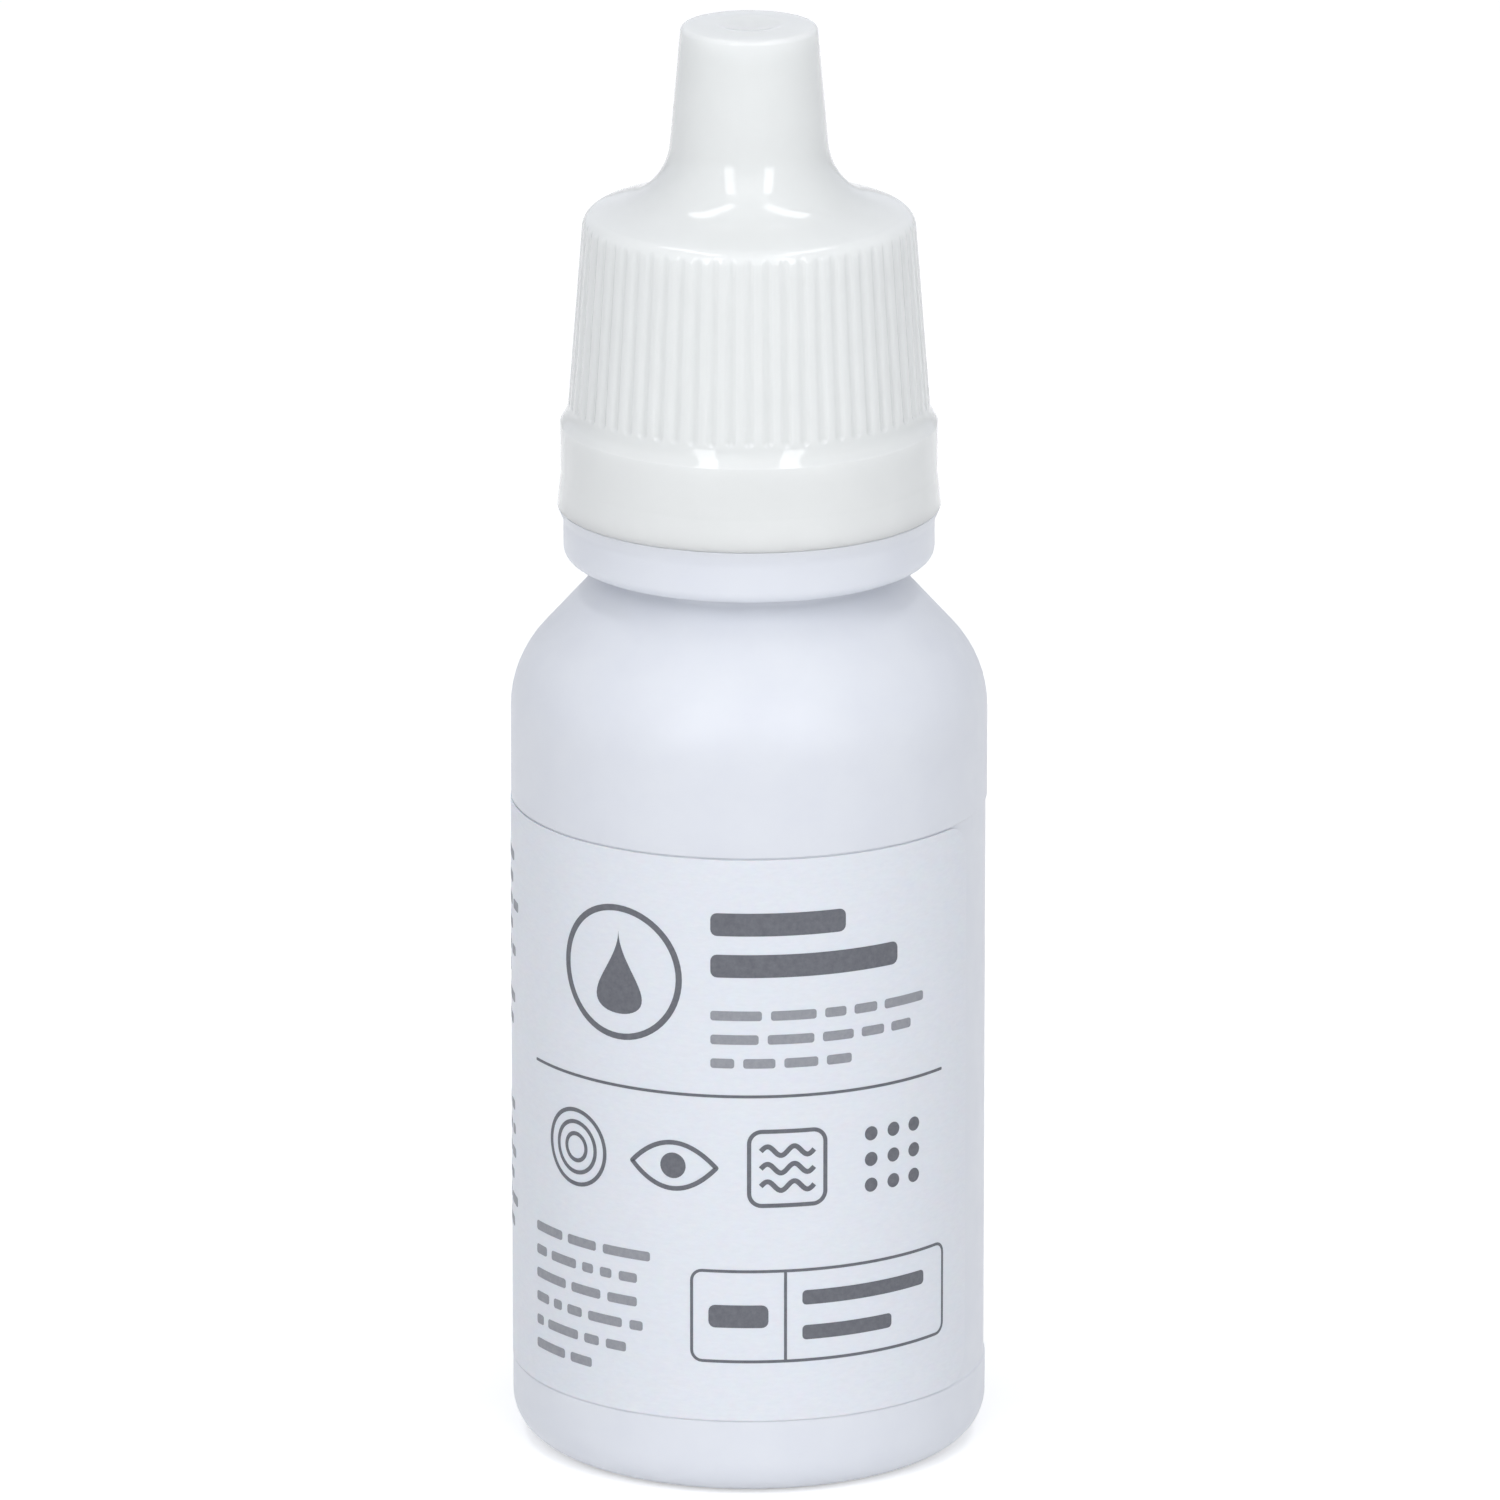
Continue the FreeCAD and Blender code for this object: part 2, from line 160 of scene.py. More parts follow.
def turned(name, outline, around, radius=None, lift=0.0):
    """Surface of revolution: point (radius, height) of the outline carried round the axis.

    around holds the bearings. radius may give, for each outline point and bearing, a radius that takes the
    outline's place, and lift what is added to the height. The outline runs anticlockwise in the
    radius-height plane, so faces point outwards. Where it starts and ends on the axis its ends become
    poles, and otherwise it closes on itself.
    """
    count = len(around)
    radii = outline[:, :1] if radius is None else radius
    grid = np.stack(np.broadcast_arrays(
        radii * np.cos(around), radii * np.sin(around), outline[:, 1:] + lift), axis=-1)
    poled = outline[0, 0] < ON_AXIS
    numbers = np.arange(grid[..., 0].size).reshape(grid.shape[:2])
    low = numbers[1:-2] if poled else numbers
    high = numbers[2:-1] if poled else np.roll(numbers, -1, axis=0)
    quads = np.stack([low, np.roll(low, -1, 1), np.roll(high, -1, 1), high], axis=-1).reshape(-1, 4)
    if not poled:
        return put_mesh(name, grid.reshape(-1, 3), quads.tolist())
    first, last = numbers[1], numbers[-2]
    start_fan = np.stack([np.zeros(count, int), np.roll(first, -1), first], axis=-1)
    end_fan = np.stack([last, np.roll(last, -1), np.full(count, numbers[-1, 0])], axis=-1)
    used = np.r_[0, np.arange(count, numbers[-1, 0] + 1)]
    place = np.full(numbers.size, -1)
    place[used] = np.arange(len(used))
    faces = place[quads].tolist() + place[start_fan].tolist() + place[end_fan].tolist()
    return put_mesh(name, grid.reshape(-1, 3)[used], faces)


def bearings(count):
    """Evenly spaced bearings round the axis, from +X towards +Y."""
    return np.arange(count) * math.tau / count


def ease(share):
    """0 below 0, 1 above 1, and a smooth step between."""
    share = np.clip(share, 0, 1)
    return share * share * (3 - 2 * share)


def smooth_least(first, second, width):
    """The smaller of two values, rounded over where they are less than width apart."""
    share = np.clip(0.5 + (second - first) / (2 * width), 0, 1)
    return second + (first - second) * share - width * share * (1 - share)


def thread_ridge(bearing, height, start, low, high):
    """Height of a helical ridge at a bearing and height, as a share of its depth.

    The ridge's middle climbs one pitch per turn from start. Its section is a trapezium across the
    nearest turn, and it runs out smoothly where its middle leaves the stretch from low to high.
    """
    turn = (height - start) / THREAD_PITCH - bearing / math.tau
    off_middle = (turn - np.round(turn)) * THREAD_PITCH
    section = ease((THREAD_HALF_FOOT - abs(off_middle)) / (THREAD_HALF_FOOT - THREAD_HALF_CREST))
    middle = height - off_middle
    run_out = ease((middle - low) / THREAD_RUN_OUT) * ease((high - middle) / THREAD_RUN_OUT)
    return section * run_out


# Materials

# A colour Mix node's sockets have the same names as its number sockets, so they go by place.
MIX_LOW = 6
MIX_HIGH = 7
MIX_RESULT = 2
RELIEF_STRENGTH = 0.5


def linear(red, green, blue):
    """A colour written as 8-bit display values, made linear by the display's standard curve."""
    share = np.array([red, green, blue]) / 255
    light = np.where(share <= 0.04045, share / 12.92, ((share + 0.055) / 1.055) ** 2.4)
    return (*light.tolist(), 1.0)


class Finish:
    """A node material whose patterns read the piece's own Object coordinates, in metres."""

    def __init__(self, name):
        self.material = bpy.data.materials.new(name)
        self.material.use_nodes = True
        self.nodes = self.material.node_tree.nodes
        self.links = self.material.node_tree.links
        self.shader = self.nodes["Principled BSDF"]
        self.place = self.nodes.new("ShaderNodeTexCoord").outputs["Object"]

    def settings(self, **values):
        """Constants on the shader's own sockets, named with underscores for spaces."""
        for name, value in values.items():
            self.shader.inputs[name.replace("_", " ")].default_value = value

    def stretched(self, scale):
        """Object coordinates stretched along the axes."""
        mapping = self.nodes.new("ShaderNodeMapping")
        mapping.inputs["Scale"].default_value = scale
        self.links.new(self.place, mapping.inputs["Vector"])
        return mapping.outputs["Vector"]

    def noise(self, size, detail=2.0, roughness=0.5, place=None):
        """Noise whose features are about size millimetres across."""
        node = self.nodes.new("ShaderNodeTexNoise")
        node.inputs["Scale"].default_value = METRE / size
        node.inputs["Detail"].default_value = detail
        node.inputs["Roughness"].default_value = roughness
        self.links.new(place or self.place, node.inputs["Vector"])
        return node.outputs["Fac"]

    def ranged(self, value, low, high, from_low=0.3, from_high=0.7):
        """A value's middle range spread from low to high."""
        node = self.nodes.new("ShaderNodeMapRange")
        ends = {"From Min": from_low, "From Max": from_high, "To Min": low, "To Max": high}
        for name, number in ends.items():
            node.inputs[name].default_value = number
        self.links.new(value, node.inputs["Value"])
        return node.outputs["Result"]

    def mixed(self, value, colour_low, colour_high):
        """A colour between two, by a value."""
        node = self.nodes.new("ShaderNodeMix")
        node.data_type = "RGBA"
        node.inputs[MIX_LOW].default_value = colour_low
        node.inputs[MIX_HIGH].default_value = colour_high
        self.links.new(value, node.inputs["Factor"])
        return node.outputs[MIX_RESULT]

    def drive(self, output, socket):
        """An output led to one of the shader's sockets."""
        self.links.new(output, self.shader.inputs[socket])

    def bump(self, value, depth, under=None):
        """Relief of depth millimetres, over an earlier relief if there is one."""
        node = self.nodes.new("ShaderNodeBump")
        node.inputs["Strength"].default_value = RELIEF_STRENGTH
        node.inputs["Distance"].default_value = depth / METRE
        self.links.new(value, node.inputs["Height"])
        if under is not None:
            self.links.new(under, node.inputs["Normal"])
        return node.outputs["Normal"]


def moulded_plastic(name, pale, deep, gloss, scatter, relief, shine=0.5):
    """White moulded plastic: faint cloudiness, uneven gloss and a fine skin from the mould.

    gloss gives the roughness range, scatter the share and the depth (mm) of light that goes in, relief
    the size and depth (mm) of the skin's grain, and shine the strength of its reflections.
    """
    finish = Finish(name)
    cloud = finish.noise(size=2.4, detail=3.0)
    colour = finish.mixed(finish.ranged(cloud, 0.0, 1.0), deep, pale)
    finish.drive(colour, "Base Color")
    handling = finish.noise(size=0.9, detail=4.0, roughness=0.6)
    finish.drive(finish.ranged(handling, *gloss), "Roughness")
    grain_size, grain_depth = relief
    skin = finish.bump(finish.noise(grain_size, detail=3.0), grain_depth)
    waviness = finish.bump(finish.noise(size=1.6, detail=1.0), grain_depth * 2, under=skin)
    finish.drive(waviness, "Normal")
    share, depth = scatter
    finish.settings(
        IOR=1.5, Specular_IOR_Level=shine, Subsurface_Weight=share, Subsurface_Scale=depth / METRE,
        Subsurface_Radius=(1.0, 1.0, 1.0))
    return finish.material


bottle_plastic = moulded_plastic(
    "satin_bottle_plastic", pale=linear(223, 226, 232), deep=linear(220, 223, 230),
    gloss=(0.34, 0.46), scatter=(0.4, 0.6), relief=(0.14, 0.004))
cap_plastic = moulded_plastic(
    "glossy_cap_plastic", pale=linear(229, 231, 230), deep=linear(227, 229, 228),
    gloss=(0.05, 0.08), scatter=(0.8, 1.2), relief=(0.3, 0.001), shine=0.45)
ring_plastic = moulded_plastic(
    "semigloss_ring_plastic", pale=linear(225, 228, 234), deep=linear(223, 226, 233),
    gloss=(0.29, 0.38), scatter=(0.5, 0.6), relief=(0.2, 0.002))
dropper_plastic = moulded_plastic(
    "milky_dropper_plastic", pale=linear(232, 235, 238), deep=linear(227, 231, 236),
    gloss=(0.3, 0.4), scatter=(0.7, 1.0), relief=(0.2, 0.002))


def label_film_finish():
    """Printed-label film: cool white with short fibres, a satin skin and a slightly uneven gloss."""
    finish = Finish("satin_label_film")
    fibres = finish.noise(size=0.5, detail=5.0, roughness=0.7, place=finish.stretched((1.0, 1.0, 3.0)))
    colour = finish.mixed(finish.ranged(fibres, 0.0, 1.0), linear(222, 224, 231), linear(227, 229, 235))
    finish.drive(colour, "Base Color")
    finish.drive(finish.ranged(finish.noise(size=1.2, detail=3.0), low=0.4, high=0.52), "Roughness")
    finish.drive(finish.bump(finish.noise(size=0.12, detail=4.0), depth=0.004), "Normal")
    finish.settings(IOR=1.46, Subsurface_Weight=0.2, Subsurface_Scale=0.0002)
    return finish.material


def ink_finish(name, full, thin):
    """Matt grey printing ink, a little mottled where it is thin."""
    finish = Finish(name)
    mottle = finish.noise(size=0.25, detail=5.0, roughness=0.7)
    finish.drive(finish.mixed(finish.ranged(mottle, 0.0, 1.0), full, thin), "Base Color")
    finish.drive(finish.ranged(finish.noise(size=0.4), low=0.45, high=0.6), "Roughness")
    finish.settings(IOR=1.45)
    return finish.material


label_film = label_film_finish()
symbol_ink = ink_finish("grey_symbol_ink", linear(92, 94, 101), linear(108, 110, 117))
text_ink = ink_finish("pale_text_ink", linear(138, 140, 147), linear(152, 154, 160))


def finished(piece, material, body, slot, *nodes):
    """Dress a piece, say which body carries it and which CAD nodes it stands for."""
    piece.data.materials.append(material)
    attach(piece, body)
    if nodes:
        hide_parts(*nodes)
    return piece


# Squeeze bottle

BODY_WALL = 0.9
BASE_WALL = 1.0
BASE_CORNER = 2.0
BASE_LAND = 1.5
BASE_DOME = 0.8
LAND_EDGE = 0.3
PANEL_DEPTH = 0.07
PANEL_MARGIN = 0.04
PANEL_EDGE = 0.06
STRAIGHT_HEIGHT = 35.4
SHOULDER_ROUND = 5.16
SHOULDER_ANGLE = math.radians(47.9)
SHOULDER_FOOT_ROUND = 0.35
COLLAR_HEIGHT = 4.1
RUNNING_GAP = 0.25
BEAD_STEP = 0.74
BEAD_HEIGHT = 0.4
MOULD_EDGE = 0.15
RIM_EDGE = 0.25
SEAM_RISE = 0.12
SEAM_HALF_WIDTH = 0.3
SEAM_REACH = 6.2
BORE_FOOT_ROUND = 1.0
DOME_POINTS = 14
WALL_SPACING = 4.0
SHOULDER_SPACING = 0.5
NECK_SPACING = 0.16
BOTTLE_BEARINGS = 360


def make_bottle():
    """Bottle turned from its outline, with the neck's thread and the pinched seam across the base's dome.

    The seam is a bell-shaped ridge along the line where the mould halves meet, and runs out at its ends.
    """
    body_radius = min(bottle_high.x, -bottle_low.x, bottle_high.y)
    rim_level = bottle_high.z
    land_outer = body_radius - BASE_CORNER
    land_inner = land_outer - BASE_LAND
    panel_radius = body_radius - PANEL_DEPTH
    panel_foot = label_low.z - PANEL_MARGIN
    panel_top = label_high.z + PANEL_MARGIN
    slope_radius = body_radius - SHOULDER_ROUND * (1 - math.sin(SHOULDER_ANGLE))
    slope_level = STRAIGHT_HEIGHT + SHOULDER_ROUND * math.cos(SHOULDER_ANGLE)
    collar_level = slope_level + (slope_radius - COLLAR_RADIUS) * math.tan(SHOULDER_ANGLE)
    # The shoulder's round replaces the corner where the wall and the slope would meet.
    shoulder_corner = STRAIGHT_HEIGHT + SHOULDER_ROUND * math.tan((math.pi / 2 - SHOULDER_ANGLE) / 2)
    inner_corner = shoulder_corner - BODY_WALL * math.tan((math.pi / 2 - SHOULDER_ANGLE) / 2)
    inner_radius = body_radius - BODY_WALL
    bore_foot = inner_corner + (inner_radius - BORE_RADIUS) * math.tan(SHOULDER_ANGLE)
    collar_top = collar_level + COLLAR_HEIGHT
    bead_level = ring_low.z + RING_LIP_HEIGHT + RUNNING_GAP
    bead_radius = COLLAR_RADIUS + BEAD_STEP
    dome_radii = np.linspace(0, land_inner, DOME_POINTS)[:-1]
    dome = np.stack([dome_radii, BASE_DOME * (1 - (dome_radii / land_inner) ** 2)], axis=-1)
    walls = rounded([
        tuple(dome[-1]),
        (land_inner, 0.0, LAND_EDGE),
        (land_outer, 0.0),
        (body_radius, 0.0, BASE_CORNER),
        (body_radius, panel_foot - PANEL_DEPTH, PANEL_EDGE),
        (panel_radius, panel_foot, PANEL_EDGE, WALL_SPACING),
        (panel_radius, panel_top, PANEL_EDGE),
        (body_radius, panel_top + PANEL_DEPTH, PANEL_EDGE),
        (body_radius, shoulder_corner, SHOULDER_ROUND, SHOULDER_SPACING),
        (COLLAR_RADIUS, collar_level, SHOULDER_FOOT_ROUND),
        (COLLAR_RADIUS, bead_level, MOULD_EDGE),
        (bead_radius, bead_level, MOULD_EDGE),
        (bead_radius, bead_level + BEAD_HEIGHT, MOULD_EDGE),
        (COLLAR_RADIUS, bead_level + BEAD_HEIGHT + BEAD_STEP, MOULD_EDGE),
        (COLLAR_RADIUS, collar_top, MOULD_EDGE),
        (NECK_RADIUS, collar_top + COLLAR_RADIUS - NECK_RADIUS, MOULD_EDGE, NECK_SPACING),
        (NECK_RADIUS, rim_level, RIM_EDGE),
        (BORE_RADIUS, rim_level, RIM_EDGE),
        (BORE_RADIUS, bore_foot, BORE_FOOT_ROUND),
        (inner_radius, inner_corner, SHOULDER_ROUND - BODY_WALL, WALL_SPACING),
        (inner_radius, BODY_WALL, BASE_CORNER - BODY_WALL),
        (land_inner, BODY_WALL),
        (0.0, BASE_DOME + BASE_WALL),
    ])
    outline = np.concatenate([dome[:-1], walls])
    around = bearings(BOTTLE_BEARINGS)
    radius, height = outline[:, :1], outline[:, 1:]
    ridge = thread_ridge(around, height, THREAD_START, THREAD_START, rim_level - NECK_THREAD_BELOW_RIM)
    on_neck = abs(radius - NECK_RADIUS) < ON_WALL
    on_dome = np.arange(len(outline))[:, None] < len(dome)
    bell = np.exp(-(radius * np.sin(around) / SEAM_HALF_WIDTH) ** 2)
    seam = SEAM_RISE * bell * ease(SEAM_REACH - abs(radius * np.cos(around))) * on_dome
    piece = turned("squeeze_bottle", outline, around, radius + THREAD_DEPTH * ridge * on_neck, lift=-seam)
    return finished(piece, bottle_plastic, "bottle", "bottle_plastic", "bottle")


make_bottle()


# Dropper insert

PLUG_WALL = 0.9
PLUG_EDGE = 0.3
FLANGE_THICKNESS = 1.0
FLANGE_EDGE = 0.2
NOZZLE_FOOT = 2.45
NOZZLE_TIP = 1.75
NOZZLE_WALL = 1.0
NOZZLE_TIP_ROUND = 0.5
NOZZLE_FOOT_ROUND = 0.6
OUTLET_RADIUS = 0.3
OUTLET_LENGTH = 0.6
DROP_CUP_RADIUS = 0.85
DROP_CUP_DEPTH = 0.7
DROP_CUP_EDGE = 0.12
DROPPER_SMALL_EDGE = 0.1
DROPPER_BORE_ROUND = 0.6
NOZZLE_SPACING = 0.6
DROPPER_BEARINGS = 160


def make_dropper_insert():
    """Dropper turned from its outline: plug in the bore, flange on the rim, nozzle with a drop cup."""
    rim_level = bottle_high.z
    flange_top = rim_level + FLANGE_THICKNESS
    plug_bore = BORE_RADIUS - PLUG_WALL
    cup_foot = insert_high.z - DROP_CUP_DEPTH
    outline = rounded([
        (plug_bore, insert_low.z, DROPPER_SMALL_EDGE),
        (BORE_RADIUS, insert_low.z, PLUG_EDGE),
        (BORE_RADIUS, rim_level),
        (insert_high.x, rim_level, FLANGE_EDGE),
        (insert_high.x, flange_top, FLANGE_EDGE),
        (NOZZLE_FOOT, flange_top, NOZZLE_FOOT_ROUND, NOZZLE_SPACING),
        (NOZZLE_TIP, insert_high.z, NOZZLE_TIP_ROUND),
        (DROP_CUP_RADIUS, insert_high.z, DROP_CUP_EDGE),
        (OUTLET_RADIUS, cup_foot, DROPPER_SMALL_EDGE),
        (OUTLET_RADIUS, cup_foot - OUTLET_LENGTH),
        (NOZZLE_TIP - NOZZLE_WALL, cup_foot - OUTLET_LENGTH),
        (NOZZLE_FOOT - NOZZLE_WALL, flange_top, DROPPER_BORE_ROUND),
        (plug_bore, rim_level - FLANGE_THICKNESS, DROPPER_BORE_ROUND),
    ], closed=True)
    piece = turned("dropper_nozzle", outline, bearings(DROPPER_BEARINGS))
    return finished(piece, dropper_plastic, "bottle", "dropper_plastic", "dropper_insert")


make_dropper_insert()


# Tamper ring

RING_EDGE_ROUND = 0.6
RING_FLARE = 0.28
RING_FLARE_HEIGHT = 0.65
RING_FLARE_ROUND = 0.8
RING_SMALL_EDGE = 0.03
BREAK_GAP = 0.025
RING_BEARINGS = 300


def make_tamper_ring():
    """Ring turned from its outline: rounded foot, upright wall, slight flare under the cap, inner lip."""
    wall_radius = ring_high.x - RING_FLARE
    lip_top = ring_low.z + RING_LIP_HEIGHT
    ring_top = cap_low.z - BREAK_GAP
    outline = rounded([
        (RING_LIP_RADIUS, ring_low.z, RING_SMALL_EDGE),
        (wall_radius, ring_low.z, RING_EDGE_ROUND),
        (wall_radius, ring_top - RING_FLARE_HEIGHT, RING_FLARE_ROUND),
        (ring_high.x, ring_top, RING_SMALL_EDGE),
        (RING_BORE, ring_top, RING_SMALL_EDGE),
        (RING_BORE, lip_top),
        (RING_LIP_RADIUS, lip_top, RING_SMALL_EDGE),
    ], closed=True)
    piece = turned("tamper_ring_collar", outline, bearings(RING_BEARINGS))
    return finished(piece, ring_plastic, "tamper_ring", "ring_plastic", "tamper_ring")


make_tamper_ring()


# Screw cap

LIP_FLARE = 0.16
LIP_HEIGHT = 1.5
LIP_ROUND = 1.5
LIP_EDGE = 0.04
LIP_INNER_EDGE = 0.06
BAND_HEIGHT = 3.93
BAND_EDGE = 0.06
LEDGE_RISE = 0.62
LEDGE_BLEND = 0.14
SKIRT_DRAFT = math.tan(math.radians(4.45))
ROOF_RADIUS = 7.7
ROOF_WALL = 1.3
ROOF_SLOPE = math.tan(math.radians(20))
ROOF_EDGE_ROUND = 0.8
HEAD_GAP = 0.45
CEILING_LEVEL = bottle_high.z + FLANGE_THICKNESS + HEAD_GAP
ROOF_LEVEL = CEILING_LEVEL + ROOF_WALL - (ROOF_RADIUS - CAP_BORE) * ROOF_SLOPE
FLUTE_COUNT = 60
FLUTE_DEPTH = 0.1
FLUTE_DEPTH_TOP = 0.07
FLUTE_ROUND = 0.33
FLUTE_EDGE = 0.07
FLUTE_LIFT = 0.56
CLEAR_OF_SKIRT = 1.0
SPIRE_FOOT_ROUND = 3.2
SPIRE_RADIUS = 3.85
SPIRE_DRAFT = math.tan(math.radians(5.08))
SPIRE_EDGE = 0.25
SPIRE_WALL = 1.1
SPIRE_LEVEL = ROOF_LEVEL + (ROOF_RADIUS - SPIRE_RADIUS) * ROOF_SLOPE
TOP_CROWN = 0.15
GATE_DISH_RADIUS = 1.5
GATE_DISH_DEPTH = 0.2
GATE_DISH_BLEND = 0.05
TIP_GAP = 0.45
SPIRE_BORE_ROUND = 0.3
SPIRE_BORE_FOOT_ROUND = 0.5
CEILING_ROUND = 0.4
BORE_STEP_INSET = 0.45
BORE_STEP_ROUND = 0.2
SEAL_PIN_RADIUS = 0.4
SEAL_PIN_REACH = 0.3
SEAL_PIN_TIP_ROUND = 0.3
SEAL_PIN_FOOT_ROUND = 0.1

# Where the cap's surface has its points: rows up the ledge and round the flutes' feet, the spacing of
# its longer runs, bearings as shares of a flute, and places on the crown as shares of the dish's radius.
LEDGE_ROW = 0.1
FLUTE_FOOT_ROW = 0.05
FLUTE_FOOT_ROWS_FROM = 0.25
FLUTE_FOOT_ROWS_PAST = 0.1
SKIRT_SPACING = 1.2
ROOF_SPACING = 0.7
SPIRE_SPACING = 1.5
SPIRE_BORE_SPACING = 3.0
CAP_BORE_SPACING = 0.3
FLUTE_PLACES = (0.0, 0.11, 0.2, 0.26, 0.33, 0.5, 0.67, 0.74, 0.8, 0.89)
DOME_END = 1.2
DISH_START = 1.1
CROWN_DOME_POINTS = 5
CROWN_DISH_POINTS = 14


def skirt_line(height):
    """Radius of the flutes' crests, which lean in with the skirt's draft."""
    return ROOF_RADIUS + (ROOF_LEVEL - height) * SKIRT_DRAFT


def cap_crown(top_radius):
    """Top of the spire from its edge to the axis: a low dome, with a shallow gate dish in the middle.

    Both are parabolas in the radius, and the lower one is taken with a soft edge between them.
    """
    dish_level = cap_high.z
    rim_level = dish_level - TOP_CROWN * (1 - (GATE_DISH_RADIUS / top_radius) ** 2)
    on_dome = np.linspace(top_radius, DOME_END * GATE_DISH_RADIUS, CROWN_DOME_POINTS)
    on_dish = np.linspace(DISH_START * GATE_DISH_RADIUS, 0, CROWN_DISH_POINTS)
    radii = np.concatenate([on_dome, on_dish])
    dome = rim_level + TOP_CROWN * (1 - (radii / top_radius) ** 2)
    dish = dish_level - GATE_DISH_DEPTH * (1 - (radii / GATE_DISH_RADIUS) ** 2)
    return np.stack([radii, smooth_least(dome, dish, GATE_DISH_BLEND)], axis=-1)


def cap_outside(band_radius, band_top):
    """Cap's outer outline from the foot to the middle of the top, flutes left out.

    Over the ledge it is the larger of the ledge's slope and the skirt's line, with a soft edge between.
    """
    ledge_level = band_top + LEDGE_RISE
    slope_drop = (band_radius - skirt_line(ledge_level)) / LEDGE_RISE
    slope_rows = np.arange(band_top + LEDGE_ROW, ledge_level + 2 * LEDGE_ROW, LEDGE_ROW)
    flute_foot_rows = np.arange(
        ledge_level + FLUTE_FOOT_ROWS_FROM, ledge_level + FLUTE_LIFT + FLUTE_FOOT_ROWS_PAST, FLUTE_FOOT_ROW)
    heights = np.concatenate([slope_rows, flute_foot_rows])
    slope = band_radius - slope_drop * (heights - band_top)
    foot = np.stack([-smooth_least(-slope, -skirt_line(heights), LEDGE_BLEND), heights], axis=-1)
    band = rounded([
        (RING_BORE, cap_low.z),
        (cap_high.x, cap_low.z, LIP_EDGE),
        (band_radius, cap_low.z + LIP_HEIGHT, LIP_ROUND),
        (band_radius, band_top, BAND_EDGE),
        tuple(foot[0]),
    ])
    top_radius = SPIRE_RADIUS - (cap_high.z - SPIRE_LEVEL) * SPIRE_DRAFT
    crown = cap_crown(top_radius)
    walls = rounded([
        tuple(foot[-1]) + (0.0, SKIRT_SPACING),
        (ROOF_RADIUS, ROOF_LEVEL, ROOF_EDGE_ROUND, ROOF_SPACING),
        (SPIRE_RADIUS, SPIRE_LEVEL, SPIRE_FOOT_ROUND, SPIRE_SPACING),
        tuple(crown[0]) + (SPIRE_EDGE,),
        tuple(crown[1]),
    ])
    return np.concatenate([band[:-1], foot[:-1], walls[:-1], crown[1:]])


def cap_inside(band_top):
    """Cap's inner outline from the seal pin's tip to the foot: spire bore, ceiling and threaded bore."""
    tip_level = insert_high.z
    spire_bore = SPIRE_RADIUS - SPIRE_WALL
    spire_ceiling = tip_level + TIP_GAP
    spire_top = spire_bore - (spire_ceiling - SPIRE_LEVEL) * SPIRE_DRAFT
    step_foot = band_top - BORE_STEP_INSET
    return rounded([
        (0.0, tip_level - SEAL_PIN_REACH),
        (SEAL_PIN_RADIUS, tip_level - SEAL_PIN_REACH, SEAL_PIN_TIP_ROUND),
        (SEAL_PIN_RADIUS, spire_ceiling, SEAL_PIN_FOOT_ROUND),
        (spire_top, spire_ceiling, SPIRE_BORE_ROUND, SPIRE_BORE_SPACING),
        (spire_bore, CEILING_LEVEL + (CAP_BORE - spire_bore) * ROOF_SLOPE, SPIRE_BORE_FOOT_ROUND),
        (CAP_BORE, CEILING_LEVEL, CEILING_ROUND, CAP_BORE_SPACING),
        (CAP_BORE, step_foot + RING_BORE - CAP_BORE, BORE_STEP_ROUND),
        (RING_BORE, step_foot, BORE_STEP_ROUND),
        (RING_BORE, cap_low.z, LIP_INNER_EDGE),
        (cap_high.x, cap_low.z),
    ])[:-1]


def flute_floor(bearing, height, foot_level):
    """Radius of the flutes' floor: slim round bars up the skirt, each with a ball at its lower end.

    A bar's middle stands off the skirt, and the floor lies half a chord nearer the axis. The chord falls
    with the way round to the nearest flute and, at the foot, with the way down from the ball's middle.
    """
    crest = skirt_line(np.maximum(height, foot_level))
    rise = np.clip((height - foot_level) / (ROOF_LEVEL - foot_level), 0, 1)
    depth = FLUTE_DEPTH + (FLUTE_DEPTH_TOP - FLUTE_DEPTH) * rise
    bar_radius = FLUTE_ROUND * crest / skirt_line(foot_level)
    middle = crest - depth + bar_radius
    flutes_round = bearing * FLUTE_COUNT / math.tau
    way_round = (flutes_round - np.round(flutes_round)) * math.tau / FLUTE_COUNT * crest
    way_down = np.maximum(foot_level - height, 0)
    half_chord = np.sqrt(np.maximum(bar_radius ** 2 - way_round ** 2 - way_down ** 2, 0))
    return np.where(half_chord > 0, middle - half_chord, crest + CLEAR_OF_SKIRT)


